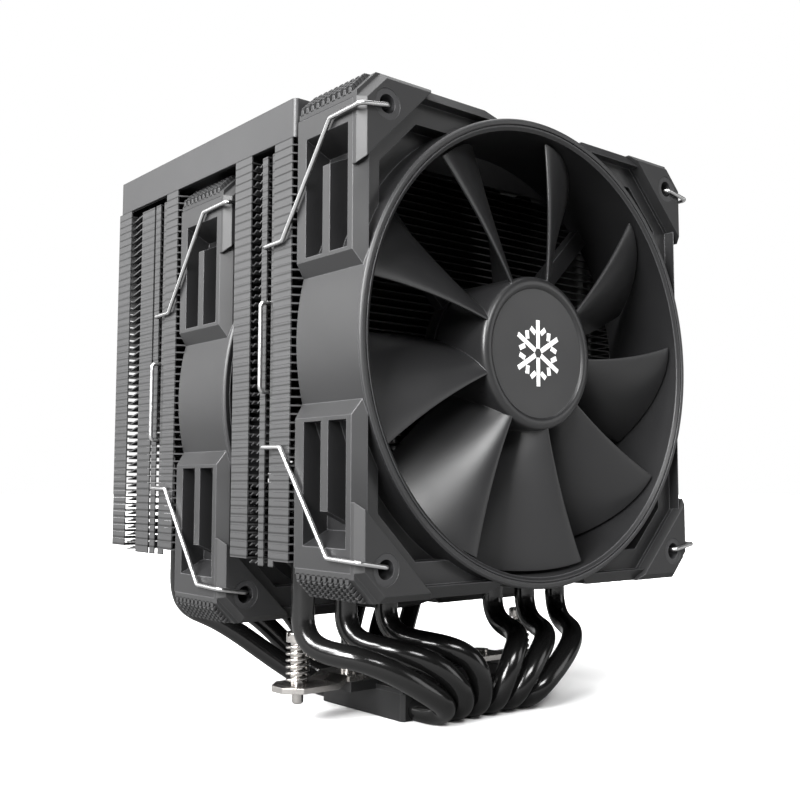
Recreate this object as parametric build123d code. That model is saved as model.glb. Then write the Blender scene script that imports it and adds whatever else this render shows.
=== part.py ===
"""CPU tower cooler: two finned towers on heat pipes, two 120 mm fans, wire clips and a sprung mounting bar.

Millimetres. X is the cooler's width, +Y runs backwards with the air, +Z is up.
The origin is the centre of the base's contact face.
"""
from build123d import *
import os
from math import radians, sqrt, tan

os.makedirs("parts", exist_ok=True)

# ---- overall ----
total_height = 155.2
cover_height = 9.7
cover_wall = 1.2
half_width = 60.0

# ---- fans ----
fan_size = 120.0
fan_depth = 25.0
fan_hole_pitch = 105.0
duct_radius = 57.0
duct_outer = 59.9
front_fan_front = -50.0
middle_fan_front = 8.4
fan_to_cover_gap = 0.4
corner_cut = 6.9
front_edge_inset = 1.0
edge_bevel_depth = 2.2
edge_bevel_width = 3.0
flange_front = 5.0
flange_back = 21.5
window_rib = 2.8
window_low = 19.4
window_high = 48.5
window_floor = 53.0
pocket_floor = 4.2
pocket_wall = 1.4
pocket_ledge = 4.0
deep_pocket_floor = 9.0
rib_slope_length = 9.0
corner_pocket_length = 26.0
block_end = 15.0
block_end_slope = 3.5
pad_thickness = 3.2
pad_bevel = 1.6
pad_inner_sum = 97.7
pad_strip_proud = 1.0
pad_strip_end = 24.5
bush_radius = 3.6
bush_bore = 2.25
bush_seat_gap = 0.02
stator_radius = 20.0
stator_front = 21.0
strut_width = 5.0
strut_front = 21.8
strut_count = 4

# ---- impeller and motor ----
hub_radius = 20.0
hub_front = 2.1
hub_back = 19.8
hub_wall = 1.6
hub_rim_fillet = 1.4
label_radius = 17.0
label_thickness = 0.5
blade_count = 9
blade_tip_gap = 1.0
blade_thickness = 1.5
blade_front = 2.9
blade_back = 18.6
blade_sweep = 28.5
blade_lead_angle = 6.5
blade_flat_share = 0.28
blade_sections = 6
blade_edge_share = 0.5
blade_root_lag = 6.5
yoke_wall = 1.0
magnet_wall = 2.2
air_gap = 0.6
stator_core_front = 8.0
stator_core_back = 15.5
winding_overhang = 2.0
tooth_count = 4
tooth_width = 5.0
bearing_tube_radius = 5.5
bearing_radius = 4.0
bearing_front = 7.0
shaft_radius = 1.5
shaft_running_gap = 0.03
shaft_end = 23.0
circuit_radius = 15.0
circuit_thickness = 1.2
circuit_front = 18.4

# ---- fin stacks ----
fin_count = 50
fin_pitch = 2.05
fin_thickness = 0.4
fin_gap = 0.05
fan_to_fin_gap = 0.3
fin_front_step = 2.2
flange_recess = 0.8
slot_depth = 4.0
flange_wall = 0.35
front_flange_depth = 7.7
groove_depth = 4.0
front_stack_recess_end = 16.7
front_stack_slot_end = 20.7
front_stack_depth = 28.7
rear_stack_gap_start = 17.3
rear_stack_gap_end = 18.3
rear_stack_recess_end = 26.4
rear_stack_slot_end = 32.4
rear_stack_depth = 40.7

# ---- heat pipes ----
pipe_radius = 3.0
pipe_count = 6
pipe_base_gap = 0.4
pipe_flat_depth = 0.4
pipe_tower_pitch = 13.5
pipe_tower_first = 20.0
pipe_leg_in_stack = 14.7
rear_leg_in_stack = 21.1
pipe_fit_gap = 0.03
pipe_tip_height = 150.5
pipe_tip_chamfer = 1.2
pipe_front_leg_end = 29.0
pipe_knee_share = 0.20
pipe_knee_forward = 11.6
pipe_knee_height = 20.4
pipe_knee_step = 0.7
pipe_run_share = 0.74
pipe_run_forward = 20.2
pipe_run_height = 15.6
pipe_run_step = 2.7
pipe_nose_share = 0.97
pipe_nose_forward = 19.6
pipe_nose_height = 7.4
pipe_nose_step = 1.1
pipe_entry_room = 2.5
pipe_exit_room = 0.2
pipe_rise_share = 0.72
pipe_rise_forward = 12.0
pipe_rise_forward_step = 3.0
pipe_rise_height = 12.0
pipe_rise_step = 1.2
pipe_rear_share = 0.20
pipe_rear_forward = 5.5
pipe_rear_height = 25.5
pipe_rear_step = 1.5
pipe_rear_leg_end = 34.0

# ---- base and mounting bar ----
base_side_wall = 2.0
base_half_length = 18.0
base_roof = 1.4
plate_ear = 8.5
plate_height = 1.2
rib_height = 3.0
rib_width = 1.2
rib_pitch = 2.6
rib_end_inset = 6.0
bar_half_width = 7.0
bar_seat_height = 1.5
bar_thickness = 1.5
bar_step_start = 30.0
bar_step_run = 3.0
bar_step_drop = 1.6
bar_end_half_width = 6.5
bar_end_cut = 4.0
spring_screw_x = 41.5
bar_screw_x = 25.0
bar_screw_radius = 1.5
bar_screw_head = 2.2
bar_screw_head_height = 0.9
base_screw_radius = 1.2
base_screw_head = 1.9
base_screw_head_height = 1.0
base_screw_inset = 3.0
shank_radius = 1.93
shank_gap = 0.05
thread_radius = 1.5
screw_tip = 4.6
screw_groove_radius = 1.2
retaining_ring_thickness = 0.6
retaining_ring_radius = 3.2
screw_head_radius = 3.1
screw_head_height = 2.6
spring_height = 10.9
spring_radius = 2.75
spring_wire = 0.45
spring_turns = 6
ring_gap = 0.05

# ---- wire clips ----
wire_radius = 0.55
wire_face_gap = 0.2
wire_side_gap = 0.35
hook_depth = 2.9
hook_drop = 0.5
clip_corner_height = 50.6
clip_corner_back = 10.8
clip_run_back = 30.2
clip_run_height = 25.0
clip_leg_back = 38.6
clip_leg_inset = 3.0
grip_half_height = 11.1
grip_proud = 1.4
clip_bend = 1.1
clip_slot_front_room = 0.65
clip_slot_back_room = 0.45

# ---- worked out from the above ----
pipe_base_pitch = 2 * pipe_radius + pipe_base_gap
pipe_base_height = pipe_radius - pipe_flat_depth
base_half_width = pipe_base_pitch * (pipe_count - 1) / 2 + pipe_radius + base_side_wall
base_height = pipe_base_height + pipe_radius + base_roof
plate_half_width = base_half_width + plate_ear
rib_half_length = base_half_width - rib_end_inset
rib_rows = int((base_half_length - bar_half_width - 2 * rib_width) / rib_pitch) + 1
cover_bottom = total_height - cover_height
fin_bottom = cover_bottom - fin_count * fin_pitch
front_fan_height = total_height - fan_size / 2
middle_fan_height = cover_bottom - fan_to_cover_gap - fan_size / 2
front_stack_front = front_fan_front + fan_depth + fan_to_fin_gap
rear_stack_front = middle_fan_front + fan_depth + fan_to_fin_gap
front_leg_y = front_stack_front + pipe_leg_in_stack
rear_leg_y = rear_stack_front + rear_leg_in_stack
bar_seat = base_height + plate_height + bar_seat_height
bar_end_bottom = bar_seat - bar_step_drop
bar_end_top = bar_end_bottom + bar_thickness
spring_top = bar_end_top + spring_height
blade_tip_radius = duct_radius - blade_tip_gap
half_pitch = fan_hole_pitch / 2
yoke_radius = hub_radius - hub_wall
magnet_radius = yoke_radius - yoke_wall
core_radius = magnet_radius - magnet_wall - air_gap


def prism(points, front, back):
    """A prism along Y between front and back, over an outline of (x, z) points."""
    face = Plane.XZ.offset(-back) * Polygon(*points, align=None)
    return extrude(face, amount=back - front, dir=(0, -1, 0))


def disc(radius, front, back):
    """A solid cylinder along Y."""
    return extrude(Plane.XZ.offset(-back) * Circle(radius), amount=back - front)


def tube(outer, inner, front, back):
    """A hollow cylinder along Y."""
    return extrude(Plane.XZ.offset(-back) * (Circle(outer) - Circle(inner)), amount=back - front)


def block(x_low, x_high, y_low, y_high, z_low, z_high):
    """A box between two corners."""
    centre = ((x_low + x_high) / 2, (y_low + y_high) / 2, (z_low + z_high) / 2)
    return Pos(*centre) * Box(x_high - x_low, y_high - y_low, z_high - z_low)


def post(radius, bottom, top):
    """A solid cylinder along Z."""
    return Pos(0, 0, (bottom + top) / 2) * Cylinder(radius, top - bottom)


def save(name, solids):
    """Write one node, whose separate pieces stay separate solids."""
    shape = solids if isinstance(solids, (Solid, Part)) else Compound(children=list(solids))
    shape.label = name
    export_step(shape, f"parts/{name}.step")


def quarters(shape):
    """The same shape at the four corners of a fan."""
    return [Rot(0, 90 * k, 0) * shape for k in range(4)]


# ---- fan frame ----
def fan_outline_corner():
    """One corner block's outline, from the round duct out to the cut corner."""
    edge = fan_size / 2
    slope_start = sqrt(duct_outer**2 - block_end**2)
    return [
        (block_end, 30),
        (block_end, slope_start),
        (block_end + block_end_slope, edge),
        (edge - corner_cut, edge),
        (edge, edge - corner_cut),
        (edge, block_end + block_end_slope),
        (slope_start, block_end),
        (30, block_end),
    ]


def frame_window(low, high, front, back):
    """A side pocket beside a corner, its far end sloped at 45 degrees."""
    edge = fan_size / 2 + 1
    depth = edge - window_floor
    points = [(low, edge), (high, edge), (high - depth / 2, window_floor), (low, window_floor)]
    return prism(points, front, back)


def frame_blank():
    """Four corner blocks inside a square envelope whose front edges are bevelled."""
    edge = fan_size / 2
    inner_edge = edge - edge_bevel_width
    bevel_back = front_edge_inset + edge_bevel_depth
    narrow = 2 * inner_edge - 0.5
    front_face = Plane.XZ.offset(-front_edge_inset + 0.2) * Rectangle(narrow, narrow)
    back_face = Plane.XZ.offset(-bevel_back) * Rectangle(fan_size, fan_size)
    envelope = loft([front_face.face(), back_face.face()])
    envelope = envelope + block(-edge, edge, bevel_back, fan_depth, -edge, edge)
    corners = quarters(prism(fan_outline_corner(), front_edge_inset, fan_depth))
    return (corners[0] + corners[1:]) & envelope


def corner_pocket(outer, diagonal_sum, floor):
    """A front pocket beside the duct, inside the outer limit and behind the corner's diagonal."""
    near = diagonal_sum - outer
    outline = [(outer, near - corner_pocket_length), (outer, near),
               (near, outer), (near - corner_pocket_length, outer)]
    return prism(outline, -1, floor) - disc(duct_outer, -2, floor + 1)


def fan_frame():
    """Duct and corner blocks with front pockets and side windows."""
    edge = fan_size / 2
    body = frame_blank()
    body = body - quarters(corner_pocket(edge - edge_bevel_width, pad_inner_sum, pocket_floor))
    deep_sum = pad_inner_sum - pocket_ledge * sqrt(2)
    body = body - quarters(corner_pocket(window_floor - pocket_wall, deep_sum, deep_pocket_floor))
    seat = [(pad_inner_sum - edge - 2, edge + 2), (edge + 2, edge + 2), (edge + 2, pad_inner_sum - edge - 2)]
    body = body - quarters(prism(seat, -1, pad_thickness))
    rib_middle = (flange_front + flange_back) / 2
    fore_end = rib_middle - window_rib / 2
    aft_start = rib_middle + window_rib / 2
    outside = edge + 1
    foot = window_high - (outside - window_floor) / 2
    rib_slope = [(window_high - rib_slope_length, outside), (window_high, outside),
                 (foot, window_floor), (foot - window_rib / 2, window_floor)]
    windows = [frame_window(window_low, window_high, flange_front, fore_end),
               frame_window(window_low, window_high, aft_start, flange_back),
               prism(rib_slope, fore_end - 0.1, aft_start + 0.1)]
    for window in windows:
        body = body - quarters(window)
        body = body - quarters(mirror(window, about=Plane.YZ))
    hole = Pos(half_pitch, 0, half_pitch) * disc(bush_radius + bush_seat_gap, -1, fan_depth + 1)
    body = body - quarters(hole)
    body = body - disc((duct_radius + duct_outer) / 2, -1, fan_depth + 1)
    body = body + tube(duct_outer, duct_radius, front_edge_inset - 0.1, fan_depth)
    return body.solid()


def motor_mount():
    """Rear disc on four struts that end at the duct, with the bearing tube."""
    mount = disc(stator_radius, stator_front, fan_depth)
    for k in range(strut_count):
        strut = block(0, duct_radius + 1, strut_front, fan_depth, -strut_width / 2, strut_width / 2)
        mount = mount + Rot(0, 45 + 360 / strut_count * k, 0) * strut
    mount = mount & disc(duct_radius, 0, fan_depth)
    mount = mount + disc(bearing_tube_radius, bearing_front - 0.5, fan_depth)
    mount = mount - disc(bearing_radius, bearing_front - 1, shaft_end + 0.6)
    return mount.solid()


def corner_pads():
    """Four soft corner pads: a front plate and a strip that stands proud on the cut corner."""
    edge = fan_size / 2
    outer_sum = 2 * edge - corner_cut
    inner = pad_inner_sum
    near = inner - edge
    outline = [(near, edge), (edge - corner_cut, edge), (edge, edge - corner_cut), (edge, near)]
    small = edge - pad_bevel
    small_cut = outer_sum - pad_bevel * 1.2
    front_outline = [(inner - small, small), (small_cut - small, small),
                     (small, small_cut - small), (small, inner - small)]
    bevelled = pad_thickness * 0.6
    front_face = Plane.XZ * Polygon(*front_outline, align=None)
    back_face = Plane.XZ.offset(-bevelled) * Polygon(*outline, align=None)
    plate = loft([front_face.face(), back_face.face()]) + prism(outline, bevelled, pad_thickness)
    proud = pad_strip_proud * sqrt(2)
    strip = [(edge - corner_cut, edge), (edge - corner_cut + proud, edge),
             (edge, edge - corner_cut + proud), (edge, edge - corner_cut)]
    plate = plate + prism(strip, bevelled, pad_strip_end)
    hole = Pos(half_pitch, 0, half_pitch) * disc(bush_radius + bush_seat_gap, -1, fan_depth + 1)
    return [piece.solid() for piece in quarters(plate - hole)]


def hole_bushes():
    """Four bushes that line the screw holes."""
    bush = Pos(half_pitch, 0, half_pitch) * tube(bush_radius, bush_bore, 0.1, fan_depth)
    return [piece.solid() for piece in quarters(bush)]


# ---- impeller ----
def blade_section(radius):
    """A blade's section on the plane across the radius, as a closed outline of (z, y) points."""
    lag = blade_root_lag * (blade_tip_radius - radius) / (blade_tip_radius - hub_radius)
    half_sweep = blade_sweep / 2
    upper = []
    lower = []
    for step in range(blade_sections):
        share = step / (blade_sections - 1)
        angle = half_sweep - lag - blade_sweep * share
        drop = blade_flat_share * share + (1 - blade_flat_share) * share**2
        depth = blade_front + (blade_back - blade_front) * drop
        half = blade_thickness / 2 * (1 - blade_edge_share * share)
        z = radius * tan(radians(angle))
        upper.append((z, depth - half))
        lower.append((z, depth + half))
    return upper + lower[::-1]


def impeller_hub():
    """Hub cup, turning about Y, with a shallow seat for its disc."""
    cup = disc(hub_radius, hub_front, hub_back)
    cup = fillet(cup.edges().filter_by(GeomType.CIRCLE).sort_by(Axis.Y)[0], hub_rim_fillet)
    cup = cup - disc(yoke_radius, hub_front + hub_wall, hub_back + 1)
    cup = cup - disc(label_radius, 0, hub_front + label_thickness)
    return cup.solid()


def impeller_blades():
    """Swept blades that meet the hub, one solid each."""
    sections = []
    for radius in (hub_radius - 1.5, (hub_radius + blade_tip_radius) / 2, blade_tip_radius + 4):
        across = Plane(origin=(radius, 0, 0), x_dir=(0, 0, 1), z_dir=(-1, 0, 0))
        sections.append((across * Polygon(*blade_section(radius), align=None)).face())
    blade = loft(sections, ruled=True)
    blade = blade & disc(blade_tip_radius, 0, fan_depth)
    blade = blade - disc(hub_radius, 0, fan_depth)
    turn = blade_lead_angle - blade_sweep / 2
    return [(Rot(0, -(turn + 360 / blade_count * k), 0) * blade).solid() for k in range(blade_count)]


def motor_parts():
    """Label disc, yoke, magnet, shaft, bearing, stator core, windings and board, front to back."""
    face = hub_front + hub_wall
    yoke = disc(yoke_radius, face, hub_back - 0.6) - disc(magnet_radius, face + yoke_wall, hub_back)
    yoke = yoke - disc(shaft_radius, 0, fan_depth)
    magnet = tube(magnet_radius, magnet_radius - magnet_wall, face + yoke_wall + 1, hub_back - 0.8)
    shaft = disc(shaft_radius, face, shaft_end)
    bearing_back = shaft_end - 1.2
    bearing = tube(bearing_radius, shaft_radius + shaft_running_gap, bearing_front, bearing_back)
    core = tube(bearing_tube_radius + 2.5, bearing_tube_radius, stator_core_front, stator_core_back)
    shoe = tube(core_radius, core_radius - 1.6, stator_core_front, stator_core_back)
    windings = []
    for k in range(tooth_count):
        turn = Rot(0, 45 + 360 / tooth_count * k, 0)
        tooth = block(bearing_tube_radius + 2, core_radius - 1.2, stator_core_front, stator_core_back,
                      -tooth_width / 4, tooth_width / 4)
        core = core + turn * tooth
        slot = block(core_radius - 3, core_radius + 1, 0, fan_depth, -tooth_width / 6, tooth_width / 6)
        shoe = shoe - Rot(0, 360 / tooth_count * k, 0) * slot
        coil = block(bearing_tube_radius + 2.7, core_radius - 2.3,
                     stator_core_front - winding_overhang, stator_core_back + winding_overhang,
                     -tooth_width / 2, tooth_width / 2)
        hollow = block(0, core_radius, stator_core_front, stator_core_back, -tooth_width / 4, tooth_width / 4)
        windings.append((turn * (coil - hollow)).solid())
    core = (core + shoe).solid()
    board = tube(circuit_radius, bearing_tube_radius, circuit_front, circuit_front + circuit_thickness)
    label = disc(label_radius, hub_front, hub_front + label_thickness)
    return {
        "hub_label": label.solid(),
        "rotor_yoke": yoke.solid(),
        "magnet_ring": magnet.solid(),
        "shaft": shaft.solid(),
        "bearing": bearing.solid(),
        "stator_core": core,
        "windings": windings,
        "circuit_board": board.solid(),
    }


# ---- wire clips ----
def wire_clip(side):
    """A spring wire clip; side is -1 on the left and 1 on the right."""
    face = -(wire_face_gap + wire_radius)
    outer = half_width + wire_side_gap + wire_radius
    leg = half_width - clip_leg_inset
    grip = half_width + grip_proud
    top = [
        (half_pitch, hook_depth + face, half_pitch - hook_drop),
        (half_pitch, face, half_pitch - hook_drop),
        (outer, face, clip_corner_height),
        (outer, clip_corner_back, clip_corner_height - 0.4),
        (outer, clip_run_back, clip_run_height),
        (outer, clip_leg_back, clip_run_height - 0.2),
        (leg, clip_leg_back, clip_run_height - 0.2),
        (leg, clip_leg_back, grip_half_height),
        (grip, clip_leg_back, grip_half_height),
    ]
    bottom = [(x, y, -z) for x, y, z in top[::-1]]
    route = [(side * x, y, z) for x, y, z in top + bottom]
    path = FilletPolyline(*route, radius=clip_bend)
    section = Plane(path @ 0, z_dir=path % 0) * Circle(wire_radius)
    return sweep(section, path=path).solid()


# ---- fin stacks ----
def fin(depth, steps, pipe_y):
    """One fin with folded side flanges; steps lists (start, end, inset, fold) from the front edge."""
    half = [(0, 0), (half_width - slot_depth, 0)]
    for start, end, inset, fold in steps:
        half.append((half_width - inset, start))
        half.append((half_width - inset, end))
    half.append((0, depth))
    left = [(-x, y) for x, y in half[1:-1]]
    outline = Polygon(*(half + left[::-1]), align=None)
    plate = extrude(outline, amount=fin_thickness, dir=(0, 0, 1))
    for start, end, inset, fold in steps:
        edge = half_width - inset
        if fold == "up":
            flange = block(edge - flange_wall, edge, start, end, 0, fin_pitch - fin_gap)
        elif fold == "down":
            low = fin_thickness + fin_gap - fin_pitch
            flange = block(edge - flange_wall, edge, start, end, low, fin_thickness)
        else:
            continue
        plate = plate + flange + mirror(flange, about=Plane.YZ)
    for x in tower_pipe_places():
        plate = plate - Pos(x, pipe_y, 0) * post(pipe_radius + pipe_fit_gap, -1, 1 + fin_thickness)
    return plate.solid()


def tower_pipe_places():
    """Where the pipes pass the fins, left to right."""
    right = [pipe_tower_first + pipe_tower_pitch * k for k in range(pipe_count // 2)]
    return [-x for x in right[::-1]] + right


def groove_span():
    """Front and back of the groove for a clip's leg, measured from the front edge of the fins."""
    centre = clip_leg_back - fan_depth - fan_to_fin_gap
    return centre - wire_radius - clip_slot_front_room, centre + wire_radius + clip_slot_back_room


def front_fin():
    """A fin of the front tower."""
    groove_front, groove_back = groove_span()
    flange_end = fin_front_step + front_flange_depth
    steps = [
        (fin_front_step, flange_end, 0, "up"),
        (flange_end, groove_front, flange_recess, "down"),
        (groove_front, groove_back, groove_depth, "none"),
        (groove_back, front_stack_recess_end, flange_recess, "down"),
        (front_stack_recess_end, front_stack_slot_end, slot_depth, "none"),
        (front_stack_slot_end, front_stack_depth, 0, "up"),
    ]
    return fin(front_stack_depth, steps, pipe_leg_in_stack)


def rear_fin():
    """A fin of the rear tower, which is deeper."""
    groove_front, groove_back = groove_span()
    flange_end = fin_front_step + front_flange_depth - 0.9
    steps = [
        (fin_front_step, flange_end, 0, "up"),
        (flange_end, groove_front, flange_recess, "down"),
        (groove_front, groove_back, groove_depth, "none"),
        (groove_back, rear_stack_gap_start, flange_recess, "down"),
        (rear_stack_gap_start, rear_stack_gap_end, slot_depth / 2, "none"),
        (rear_stack_gap_end, rear_stack_recess_end, flange_recess, "down"),
        (rear_stack_recess_end, rear_stack_slot_end, slot_depth, "none"),
        (rear_stack_slot_end, rear_stack_depth, 0, "up"),
    ]
    return fin(rear_stack_depth, steps, rear_leg_in_stack)


def fin_stack(one_fin, front):
    """The whole stack, one solid for each fin."""
    return [Pos(0, front, fin_bottom + fin_pitch * k) * one_fin for k in range(fin_count)]


def top_cover():
    """A folded box that caps both towers and bridges the gap between them."""
    front = front_stack_front + fin_front_step - 1.0
    back = rear_stack_front + rear_stack_depth - 0.8
    shell = block(-half_width, half_width, front, back, cover_bottom, total_height)
    shell = fillet(shell.edges().filter_by(Axis.Z), 1.2)
    inner = block(-half_width + cover_wall, half_width - cover_wall, front + cover_wall,
                  back - cover_wall, cover_bottom - 1, total_height - cover_wall)
    return (shell - inner).solid()


# ---- heat pipes ----
def pipe_path(index):
    """Centre line of one heat pipe: down the front tower, under it into the base, and up the rear tower."""
    middle = (pipe_count - 1) / 2
    base_x = pipe_base_pitch * (index - middle)
    tower_x = tower_pipe_places()[index]
    rank = abs(index - middle) - 0.5

    def across(share):
        return tower_x + (base_x - tower_x) * share

    entry = (base_x, -base_half_length - pipe_entry_room, pipe_base_height)
    leave = (base_x, base_half_length + pipe_exit_room, pipe_base_height)
    front_leg = (tower_x, front_leg_y, pipe_front_leg_end)
    rear_leg = (tower_x, rear_leg_y, pipe_rear_leg_end)
    knee_height = pipe_knee_height - pipe_knee_step * rank
    knee = (across(pipe_knee_share), front_leg_y - pipe_knee_forward, knee_height)
    run_height = pipe_run_height - pipe_run_step * rank
    run = (across(pipe_run_share), front_leg_y - pipe_run_forward, run_height)
    nose_height = pipe_nose_height - pipe_nose_step * rank
    nose = (across(pipe_nose_share), front_leg_y - pipe_nose_forward, nose_height)
    rise_y = rear_leg_y - pipe_rise_forward - pipe_rise_forward_step * rank
    rise = (across(pipe_rise_share), rise_y, pipe_rise_height - pipe_rise_step * rank)
    rear_height = pipe_rear_height - pipe_rear_step * rank
    rear = (across(pipe_rear_share), rear_leg_y - pipe_rear_forward, rear_height)
    down = (0, 0, -1)
    back = (0, 1, 0)
    up = (0, 0, 1)
    return Wire([
        Edge.make_line((tower_x, front_leg_y, pipe_tip_height), front_leg),
        Edge.make_spline([front_leg, knee, run, nose, entry], tangents=[down, back]),
        Edge.make_line(entry, leave),
        Edge.make_spline([leave, rise, rear, rear_leg], tangents=[back, up]),
        Edge.make_line(rear_leg, (tower_x, rear_leg_y, pipe_tip_height)),
    ])


def heat_pipe(index):
    """One heat pipe, milled flat where it meets the contact face."""
    path = pipe_path(index)
    section = Plane(path @ 0, z_dir=path % 0) * Circle(pipe_radius)
    pipe = sweep(section, path=path)
    rings = pipe.edges().filter_by(GeomType.CIRCLE)
    tips = rings.filter_by_position(Axis.Z, pipe_tip_height - 0.1, pipe_tip_height + 0.1)
    pipe = chamfer(tips, pipe_tip_chamfer)
    below = block(-half_width, half_width, -2 * fan_size, 2 * fan_size, -2 * pipe_radius, 0)
    return (pipe - below).solid()


# ---- base ----
def corner_screw_places():
    """The four screws that hold the finned plate on the base."""
    x = base_half_width - base_screw_inset
    y = base_half_length - base_screw_inset
    return [(sx * x, sy * y) for sx in (-1, 1) for sy in (-1, 1)]


def base_plate():
    """Contact block with a channel for each pipe."""
    body = block(-base_half_width, base_half_width, -base_half_length, base_half_length, 0, base_height)
    body = chamfer(body.edges().filter_by(Axis.Z), 1.0)
    for index in range(pipe_count):
        x = pipe_base_pitch * (index - (pipe_count - 1) / 2)
        channel = disc(pipe_radius + pipe_fit_gap, -base_half_length - 1, base_half_length + 1)
        body = body - Pos(x, 0, pipe_base_height) * channel
    return body.solid()


def base_heatsink():
    """Thin plate with ears, a seat for the bar, and short ribs each side of it."""
    top = base_height + plate_height
    plate = block(-base_half_width, base_half_width, -base_half_length, base_half_length, base_height, top)
    plate = plate + block(-plate_half_width, plate_half_width, -bar_half_width, bar_half_width,
                          base_height, bar_seat)
    for row in range(rib_rows):
        y = bar_half_width + rib_width + rib_pitch * row
        rib = block(-rib_half_length, rib_half_length, y, y + rib_width, top, top + rib_height)
        plate = plate + rib + mirror(rib, about=Plane.XZ)
    for x, y in corner_screw_places():
        plate = plate - Pos(x, y, 0) * post(base_screw_radius, base_height - 1, top + 1)
    for side in (-1, 1):
        plate = plate - Pos(side * bar_screw_x, 0, 0) * post(bar_screw_radius, base_height - 1, bar_seat + 1)
    return plate.solid()


def base_screws():
    """Four small screws on the finned plate."""
    top = base_height + plate_height
    screw = post(base_screw_radius, base_height, top)
    screw = screw + post(base_screw_head, top, top + base_screw_head_height)
    return [(Pos(x, y, 0) * screw).solid() for x, y in corner_screw_places()]


def mounting_bar():
    """Stepped bar across the base, with a cut-cornered end and a hole for each spring screw."""
    low = bar_end_bottom
    side = [
        (0, bar_seat),
        (bar_step_start, bar_seat),
        (bar_step_start + bar_step_run, low),
        (spring_screw_x + bar_end_half_width, low),
        (spring_screw_x + bar_end_half_width, bar_end_top),
        (bar_step_start + bar_step_run, bar_end_top),
        (bar_step_start, bar_seat + bar_thickness),
        (0, bar_seat + bar_thickness),
    ]
    half = prism(side, -bar_half_width, bar_half_width)
    tip = spring_screw_x + bar_end_half_width
    flat = bar_end_half_width - bar_end_cut
    plan = Polygon((0, -bar_end_half_width), (tip - bar_end_cut, -bar_end_half_width), (tip, -flat),
                   (tip, flat), (tip - bar_end_cut, bar_end_half_width), (0, bar_end_half_width), align=None)
    plan = plan + Pos(bar_step_start / 2, 0) * Rectangle(bar_step_start, 2 * bar_half_width)
    half = half & extrude(plan, amount=2 * bar_seat)
    half = half - Pos(spring_screw_x, 0, 0) * post(shank_radius + shank_gap, 0, 2 * bar_seat)
    half = half - Pos(bar_screw_x, 0, 0) * post(bar_screw_radius, 0, 2 * bar_seat)
    return (half + mirror(half, about=Plane.YZ)).solid()


def bar_screws():
    """Two round-headed screws that hold the bar on the plate's ears."""
    top = bar_seat + bar_thickness
    screw = post(bar_screw_radius, base_height, top) + post(bar_screw_head, top, top + bar_screw_head_height)
    return [(Pos(side * bar_screw_x, 0, 0) * screw).solid() for side in (-1, 1)]


def ring_span():
    """Bottom and top of the retaining ring under the bar's end."""
    top = bar_end_bottom - 2 * ring_gap
    return top - retaining_ring_thickness, top


def spring_screw():
    """Captive screw: slotted cap head, plain shank, groove for its ring, and a threaded end."""
    ring_low, ring_high = ring_span()
    head = post(screw_head_radius, spring_top, spring_top + screw_head_height)
    head = fillet(head.edges().filter_by(GeomType.CIRCLE).sort_by(Axis.Z)[-1], 0.5)
    head = head - block(-screw_head_radius, screw_head_radius, -0.5, 0.5,
                        spring_top + screw_head_height - 1.0, spring_top + screw_head_height + 1)
    body = head + post(shank_radius, ring_high + ring_gap, spring_top)
    body = body + post(screw_groove_radius, ring_low - ring_gap, ring_high + ring_gap)
    thread = post(thread_radius, screw_tip, ring_low - ring_gap)
    thread = chamfer(thread.edges().filter_by(GeomType.CIRCLE).sort_by(Axis.Z)[0], 0.4)
    return (body + thread).solid()


def retaining_ring():
    """The ring in the screw's groove."""
    ring_low, ring_high = ring_span()
    outer = post(retaining_ring_radius, ring_low, ring_high)
    return (outer - post(screw_groove_radius + shank_gap, ring_low - 1, ring_high + 1)).solid()


def screw_spring():
    """The coil spring between the bar's end and the screw head."""
    height = spring_height - 2 * spring_wire
    path = Helix(pitch=height / spring_turns, height=height, radius=spring_radius)
    section = Plane(path @ 0, z_dir=path % 0) * Circle(spring_wire)
    return (Pos(0, 0, bar_end_top + spring_wire) * sweep(section, path=path, is_frenet=True)).solid()


def place_all(shapes, place):
    """Move one shape or a list of shapes."""
    if isinstance(shapes, list):
        return [place * shape for shape in shapes]
    return place * shapes


def save_fan(name, front, height):
    """Write every node of one fan, with its two clips."""
    place = Pos(0, front, height)
    save(f"{name}_frame", place * fan_frame())
    save(f"{name}_corner_pads", place_all(corner_pads(), place))
    save(f"{name}_hole_bushes", place_all(hole_bushes(), place))
    save(f"{name}_motor_mount", place * motor_mount())
    save(f"{name}_impeller_hub", place * impeller_hub())
    save(f"{name}_impeller_blades", place_all(impeller_blades(), place))
    for part_name, shape in motor_parts().items():
        save(f"{name}_{part_name}", place_all(shape, place))
    save(f"{name}_left_clip", place * wire_clip(-1))
    save(f"{name}_right_clip", place * wire_clip(1))


save_fan("front_fan", front_fan_front, front_fan_height)
save_fan("middle_fan", middle_fan_front, middle_fan_height)
save("front_fins", fin_stack(front_fin(), front_stack_front))
save("rear_fins", fin_stack(rear_fin(), rear_stack_front))
save("top_cover", top_cover())
for number in range(pipe_count):
    save(f"heat_pipe_{number + 1}", heat_pipe(number))
save("base_plate", base_plate())
save("base_heatsink", base_heatsink())
save("base_screws", base_screws())
save("mounting_bar", mounting_bar())
save("bar_screws", bar_screws())
for side_name, side_sign in (("left", -1), ("right", 1)):
    spot = Pos(side_sign * spring_screw_x, 0, 0)
    save(f"{side_name}_spring_screw", spot * spring_screw())
    save(f"{side_name}_retaining_ring", spot * retaining_ring())
    save(f"{side_name}_spring", spot * screw_spring())
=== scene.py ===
"""Looks of a twin-tower CPU cooler, laid out as a Blender add-on and run as a script.

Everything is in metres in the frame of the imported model: X across the fans, +Y backwards with the air, +Z up.
"""
import math

import bpy
import numpy as np
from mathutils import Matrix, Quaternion, Vector


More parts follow.
